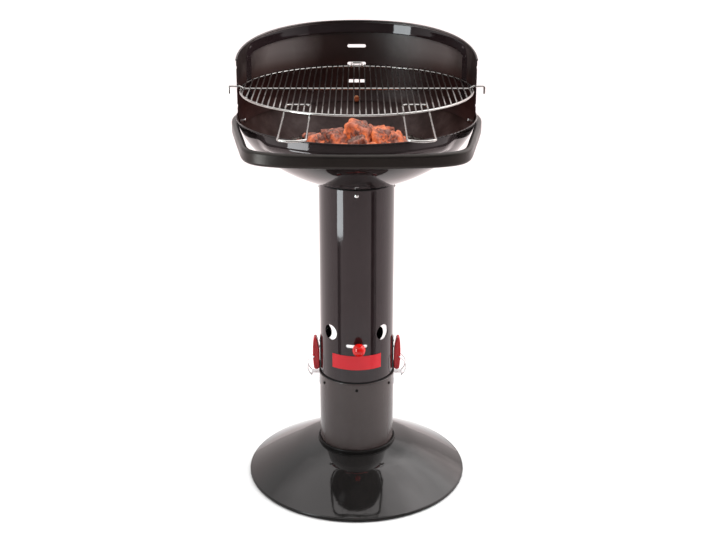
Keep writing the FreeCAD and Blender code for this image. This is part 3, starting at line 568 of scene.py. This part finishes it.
def lever_piece(side):
    line = np.array(catmull(LEVER_OUT, 8))
    nxt, prv = np.roll(line, -1, 0), np.roll(line, 1, 0)
    tan = nxt - prv
    tan /= np.linalg.norm(tan, axis=1)[:, None]
    inward = np.stack([-tan[:, 1], tan[:, 0]], 1)
    centre = np.array([90.0, 282.0])
    if ((centre - line) * inward).sum() < 0:
        inward = -inward
    R = 2.4
    prof = [(-10.0 + R * (1 - math.cos(t)), R * (1 - math.sin(t))) for t in np.linspace(0, math.pi / 2, 7)]
    prof += [(y, 0.0) for y in (-4.6, 0.0, 4.6)]
    prof += [(10.0 - R * (1 - math.cos(t)), R * (1 - math.sin(t))) for t in np.linspace(math.pi / 2, 0, 7)]
    rings = []
    for y, inset in prof:
        q = line + inward * inset
        rings.append([(side * a / 1000, y / 1000, b / 1000) for a, b in q])
    return plain("lever", *loft(rings))


for side, word in ((1, "right"), (-1, "left")):
    o = lever_piece(side)
    s = side / 1000.0
    x0, x1 = sorted((70 * s, 110 * s))
    cut_with(o, [box_mesh("c1", (x0, -0.004, 0.246), (x1, 0.004, 0.272)),
                 rod_mesh("c2", (88.7 * s, -0.03, 0.2543), (88.7 * s, 0.03, 0.2543), 0.00205),
                 rod_mesh("c3", (94.3 * s, -0.03, 0.2795), (94.3 * s, 0.03, 0.2795), 0.00155)])
    o.name = "lever_" + word
    finish_piece(o, "lever_" + word, M_LEVER, 35.0)
    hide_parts("latch_lever_" + word)


# ---------------------------------------------------------------- screws
def screw_proto(head_r, head_h, shank_r, length, n=32):
    """Pan-head screw along +Z, head base at z 0, with a cross recess."""
    prof = [(shank_r, -length), (shank_r, 0.0), (head_r * 0.97, 0.0), (head_r, head_h * 0.12), (head_r * 0.985, head_h * 0.35)]
    for t in np.linspace(0.15, 1.0, 8)[:-1]:
        prof.append((head_r * 0.985 * math.cos(t * math.pi / 2) ** 0.75, head_h * (0.35 + 0.65 * math.sin(t * math.pi / 2))))
    prof.append((head_r * 0.12, head_h))
    rings = [[(r * math.cos(2 * math.pi * k / n), r * math.sin(2 * math.pi * k / n), z) for k in range(n)] for r, z in prof]
    o = plain("proto", *loft(rings))
    w, L, d = head_r * 0.16, head_r * 0.60, head_h * 0.55
    cut_with(o, [box_mesh("r1", (-w, -L, head_h - d), (w, L, head_h + 1)), box_mesh("r2", (-L, -w, head_h - d), (L, w, head_h + 1))])
    return o


def place_screws(name, node, proto, places, body, mat, slot):
    src_v = np.array([v.co for v in proto.data.vertices])
    src_f = [tuple(p.vertices) for p in proto.data.polygons]
    vs, fs = [], []
    for (pos, direction, spin) in places:
        q = Vector(direction).to_track_quat("Z", "Y").to_matrix() @ Matrix.Rotation(math.radians(spin), 3, "Z")
        base = len(vs)
        vs += list((src_v @ np.array(q).T + np.array(pos)) / 1000.0)
        fs += [tuple(base + k for k in f) for f in src_f]
    bpy.data.objects.remove(proto)
    o = mesh_piece(name, vs, fs, body, mat, 35.0, slot)
    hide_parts(node)
    return o


def out_dir(az):
    t = math.radians(az)
    return (math.sin(t), -math.cos(t), 0.0)


def radial(az, r, z, spin, inward=False):
    d = out_dir(az)
    return ((d[0] * r, d[1] * r, z), tuple(-c for c in d) if inward else d, spin)


place_screws("pot_screw_heads", "pot_screws", screw_proto(3.3, 2.2, 1.55, 5.8), [radial(60 * i, 81.82, 230.0, 17 * i) for i in range(6)],
             "stand", M_SCREW_DARK, "screw_steel")
place_screws("neck_screw_heads", "neck_screws", screw_proto(4.2, 2.8, 2.0, 7.0), [radial(90 * i, 80.03, 671.0, 29 * i + 40) for i in range(4)],
             "stand", M_SCREW, "screw_steel")
place_screws("ring_bolt_heads", "ring_bolts", screw_proto(4.2, 3.0, 2.5, 19.0), [radial(b, 236.0, 803.5, 31 * i, True) for i, b in enumerate((97.0, -97.0))],
             "stand", M_SCREW, "screw_steel")

# ---------------------------------------------------------------- spot welds of the cooking grid
def blobs(name, places, size, body, mat, slot):
    bm = bmesh.new()
    bmesh.ops.create_uvsphere(bm, u_segments=10, v_segments=6, radius=1.0)
    src_v = np.array([x.co for x in bm.verts])
    src_f = [tuple(x.index for x in face.verts) for face in bm.faces]
    bm.free()
    vs, fs = [], []
    for i, (x, y, z) in enumerate(places):
        k = 1.0 + 0.12 * math.sin(i * 12.9898)
        base = len(vs)
        vs += list((src_v * np.array(size) * k + np.array([x, y, z])) / 1000.0)
        fs += [tuple(base + q for q in f) for f in src_f]
    return mesh_piece(name, vs, fs, body, mat, 60.0, slot)


weld_at = []
for i in range(40):
    x = (i - 19.5) * 11.8
    L = math.sqrt(max(0.0, 237.5 ** 2 - x * x))
    if L < 30:
        continue
    weld_at += [(x, -L, 878.3), (x, L, 878.3), (x, 0.0, 878.3)]
blobs("grid_welds", weld_at, (1.9, 1.9, 1.0), "cooking_grid", M_CHROME, "chrome_wire")

# ---------------------------------------------------------------- raised border round the windscreen's pressed panel
def screen_top(y):
    return 976.0 - 37.0 * max(0.0, 1.0 - y / 245.0) ** 1.32


def panel_border():
    """A lip along the panel's outline, falling off outwards into the sheet."""
    wall, edge = 243.7, 67.0
    line = [(-wall * math.radians(edge), z) for z in np.linspace(840.0, 918.0, 14)]
    tops = []
    for t in np.linspace(-edge + 4.2, edge - 4.2, 90):
        y = wall * math.cos(math.radians(t))
        tops.append((wall * math.radians(t), screen_top(y) - 25.0))
    # rounded corner between the upright and the upper line
    a, b = np.array(line[-1]), np.array(tops[0])
    knee = np.array([line[0][0], tops[0][1] - 1.5])
    turn = [tuple((1 - k) ** 2 * a + 2 * k * (1 - k) * knee + k * k * b) for k in np.linspace(0, 1, 10)[1:-1]]
    half = line + turn + tops[:45]
    full = np.array(half + [(-u, z) for u, z in half[::-1]])
    tan = np.gradient(full, axis=0)
    tan /= np.linalg.norm(tan, axis=1)[:, None]
    out = np.stack([-tan[:, 1], tan[:, 0]], 1)
    prof = [(0.0, -0.3), (0.0, 1.45), (0.25, 1.85), (0.8, 2.1), (1.6, 2.15), (6.0, 1.62), (11.0, 1.02), (16.0, 0.46), (20.5, 0.08), (21.5, -0.3)]
    rings = []
    for (u, z), n in zip(full, out):
        ring = []
        for d, h in prof:
            uu, zz = u + n[0] * d, z + n[1] * d
            t, r = uu / wall, (wall - h) / 1000.0
            ring.append((r * math.sin(t), r * math.cos(t), zz / 1000.0))
        rings.append(ring)
    return mesh_piece("panel_border", *loft(rings), "stand", M_ENAMEL, 40.0, "enamel_black")


panel_border()

# ---------------------------------------------------------------- straight band under the bowl's rim, in the gap behind the grip ring
def front_band():
    wall = [(232.0, 785.0), (236.3, 791.9), (239.7, 799.3), (242.8, 806.7), (244.8, 814.4), (246.5, 821.4)]
    face = [(232.2, 785.0), (242.6, 789.6), (249.2, 797.6), (250.9, 805.8), (249.0, 813.6), (247.1, 821.4)]
    rings = []
    for az in np.linspace(-54.0, 54.0, 109):
        k = min(1.0, (54.0 - abs(az)) / 12.0)
        k = k * k * (3 - 2 * k)
        t = math.radians(az)
        smooth = catmull([np.array(w) + k * (np.array(f) - np.array(w)) + np.array([0.05, 0.0]) for w, f in zip(wall, face)], 4, closed=False)
        smooth.append(np.array(wall[-1]) + k * (np.array(face[-1]) - np.array(wall[-1])) + np.array([0.05, 0.0]))
        back = [np.array(w) - np.array([0.7, 0.0]) for w in wall[::-1]]
        rings.append([(r * math.sin(t) / 1000, -r * math.cos(t) / 1000, z / 1000) for r, z in smooth + back])
    return mesh_piece("bowl_front_band", *loft(rings), "stand", M_BAND_PAINTED_SHEEN, 40.0, "enamel_black")


def neck_groove_painted_shade():
    """Painted shade: a matt black band filling the groove between column and bowl."""
    n, rings = 96, []
    prof = [(78.2, 681.15), (79.6, 681.15), (79.95, 681.5), (80.05, 682.1), (79.9, 682.75), (79.5, 683.1), (78.2, 683.1)]
    for k in range(n):
        t = 2 * math.pi * k / n
        rings.append([(r * math.sin(t) / 1000, -r * math.cos(t) / 1000, z / 1000) for r, z in prof])
    return mesh_piece("neck_groove_painted_shade", *loft(rings, closed_path=True), "stand", M_SEAL_AND_SHADE, 40.0, "seal_black")


front_band()
neck_groove_painted_shade()

# ---------------------------------------------------------------- floor, light, camera
floor_mesh = bpy.data.meshes.new("floor")
floor_mesh.from_pydata([(-20, -20, -0.0003), (20, -20, -0.0003), (20, 20, -0.0003), (-20, 20, -0.0003)], [], [(0, 1, 2, 3)])
floor = bpy.data.objects.new("floor", floor_mesh)
scene.collection.objects.link(floor)
m, nt, p = new_mat("pale_floor")
# neutral round the foot, a little warmer further out
far = nt.nodes.new("ShaderNodeVectorMath")
far.operation = "DISTANCE"
nt.links.new(coords(nt), far.inputs[0])
far.inputs[1].default_value = (0.0, -0.3, 0.0)
grain = noise_tex(nt, coords(nt), 3.0, 2.0)
near_tone = ramp(nt, grain, [(0.3, (0.69, 0.69, 0.69)), (0.7, (0.72, 0.72, 0.72))])
far_tone = ramp(nt, grain, [(0.3, (0.675, 0.604, 0.600)), (0.7, (0.700, 0.628, 0.624))])
nt.links.new(blend(nt, spread(nt, far.outputs["Value"], 0.0, 1.0, 0.45, 0.85), near_tone, far_tone), p.inputs["Base Color"])
p.inputs["Roughness"].default_value = 0.6
p.inputs["Specular IOR Level"].default_value = 0.1
floor_mesh.materials.append(m)

world = bpy.data.worlds.new("studio")
scene.world = world
world.use_nodes = True
wt = world.node_tree
bg = wt.nodes["Background"]
# bright soft studio: white horizon, brighter ceiling, a large cloudy panel at the right, nothing with a hard edge
way = wt.nodes.new("ShaderNodeTexCoord").outputs["Generated"]
sep = wt.nodes.new("ShaderNodeSeparateXYZ")
wt.links.new(way, sep.inputs[0])
cloud = noise_tex(wt, way, 4.5, 4.0, 0.55)
drift = mathn(wt, "MULTIPLY", mathn(wt, "SUBTRACT", cloud, 0.5), 0.5)
ceiling = spread(wt, mathn(wt, "ADD", sep.outputs[2], mathn(wt, "MULTIPLY", drift, 0.3)), 0.0, 1.15, 0.66, 0.86)
dot = wt.nodes.new("ShaderNodeVectorMath")
dot.operation = "DOT_PRODUCT"
dot.inputs[1].default_value = (0.708, 0.345, 0.616)
wt.links.new(way, dot.inputs[0])
panel = spread(wt, mathn(wt, "ADD", dot.outputs["Value"], mathn(wt, "MULTIPLY", drift, 0.45)), 0.0, 2.3, 0.76, 0.97)
front = spread(wt, sep.outputs[1], 0.72, 0.0, -0.75, -0.15)
total = mathn(wt, "SUBTRACT", mathn(wt, "ADD", mathn(wt, "ADD", ceiling, panel), 1.05), front)
wt.links.new(total, bg.inputs["Strength"])
warm = mathn(wt, "MULTIPLY", spread(wt, sep.outputs[1], 0.0, 1.0, 0.0, 0.5), spread(wt, sep.outputs[2], 1.0, 0.0, 0.35, 0.60))
wt.links.new(ramp(wt, warm, [(0.0, (1.0, 1.0, 1.0)), (1.0, (1.0, 0.905, 0.895))]), bg.inputs["Color"])


def softbox(name, at, target, w, h, radiance):
    d = bpy.data.lights.new(name, "AREA")
    d.shape = "RECTANGLE"
    d.size, d.size_y = w, h
    d.energy = radiance * math.pi * w * h
    o = bpy.data.objects.new(name, d)
    scene.collection.objects.link(o)
    o.location = at
    o.rotation_mode = "QUATERNION"
    o.rotation_quaternion = (Vector(target) - Vector(at)).to_track_quat("-Z", "Y")
    o.visible_camera = False
    return o


def card(name, at, target, w, h, tone):
    """A dark flag or panel out of the camera's sight, for the reflections."""
    q = (Vector(target) - Vector(at)).to_track_quat("-Z", "Y")
    corners = [Vector(at) + q @ Vector((sx * w / 2, sy * h / 2, 0)) for sx, sy in ((-1, -1), (1, -1), (1, 1), (-1, 1))]
    me = bpy.data.meshes.new(name)
    me.from_pydata([tuple(c) for c in corners], [], [(0, 1, 2, 3)])
    o = bpy.data.objects.new(name, me)
    scene.collection.objects.link(o)
    cm, ct, cp = new_mat(name)
    ct.links.new(ramp(ct, noise_tex(ct, coords(ct), 5.0, 2.0), [(0.3, (tone, tone, tone)), (0.7, (tone * 1.2, tone * 1.2, tone * 1.2))]), cp.inputs["Base Color"])
    cp.inputs["Roughness"].default_value = 0.9
    cp.inputs["Specular IOR Level"].default_value = 0.0
    me.materials.append(cm)
    o.visible_camera = False
    return o


def around(az, r, z):
    t = math.radians(az)
    return (r * math.sin(t), -r * math.cos(t), z)


strip = softbox("key_strip", around(-50, 1.2, 0.735), (0, 0, 0.735), 0.40, 1.09, 10.8)
strip.data.color = (0.87, 0.985, 1.0)
strip.visible_diffuse = False
fill = softbox("floor_fill", (0.0, 0.3, 3.2), (0, 0.3, 0), 3.0, 3.0, 1.0)
fill.visible_glossy = False
for side, word in ((1, "right"), (-1, "left")):
    wing = softbox("floor_wing_" + word, (side * 2.3, 0.3, 2.0), (side * 1.5, 0.2, 0), 1.6, 2.4, 1.5)
    wing.visible_glossy = False
card("behind_camera", (0, -2.95, 1.3), (0, 0, 1.3), 7.0, 2.6, 0.10)
flags = [card("flag_right", around(46.0, 0.5, 0.32), (0, 0, 0.32), 0.080, 0.46, 0.08),
         card("flag_right_soft", around(54.0, 0.5, 0.32), (0, 0, 0.32), 0.060, 0.46, 0.45),
         card("flag_left", around(-53.0, 0.75, 0.167), (0, 0, 0.167), 0.13, 0.334, 0.20),
         card("flag_ring", around(-32.5, 0.60, 0.71), (-0.162, -0.268, 0.797), 0.15, 0.12, 0.10)]
for o in flags:
    o.visible_diffuse = False
    o.visible_shadow = False

cam_data = bpy.data.cameras.new("camera")
cam = bpy.data.objects.new("camera", cam_data)
scene.collection.objects.link(cam)
cam_data.sensor_fit = "HORIZONTAL"
cam_data.sensor_width = 36.0
cam_data.lens = 36.0 * 1229.0 / 716.0
cam_data.shift_x = 1.35 / 716.0
cam.location = (0.0, -2.491, 1.410)
cam.rotation_euler = (math.radians(90.0 - 20.48), 0.0, 0.0)
scene.camera = cam
scene.view_settings.view_transform = "Standard"
scene.view_settings.look = "None"
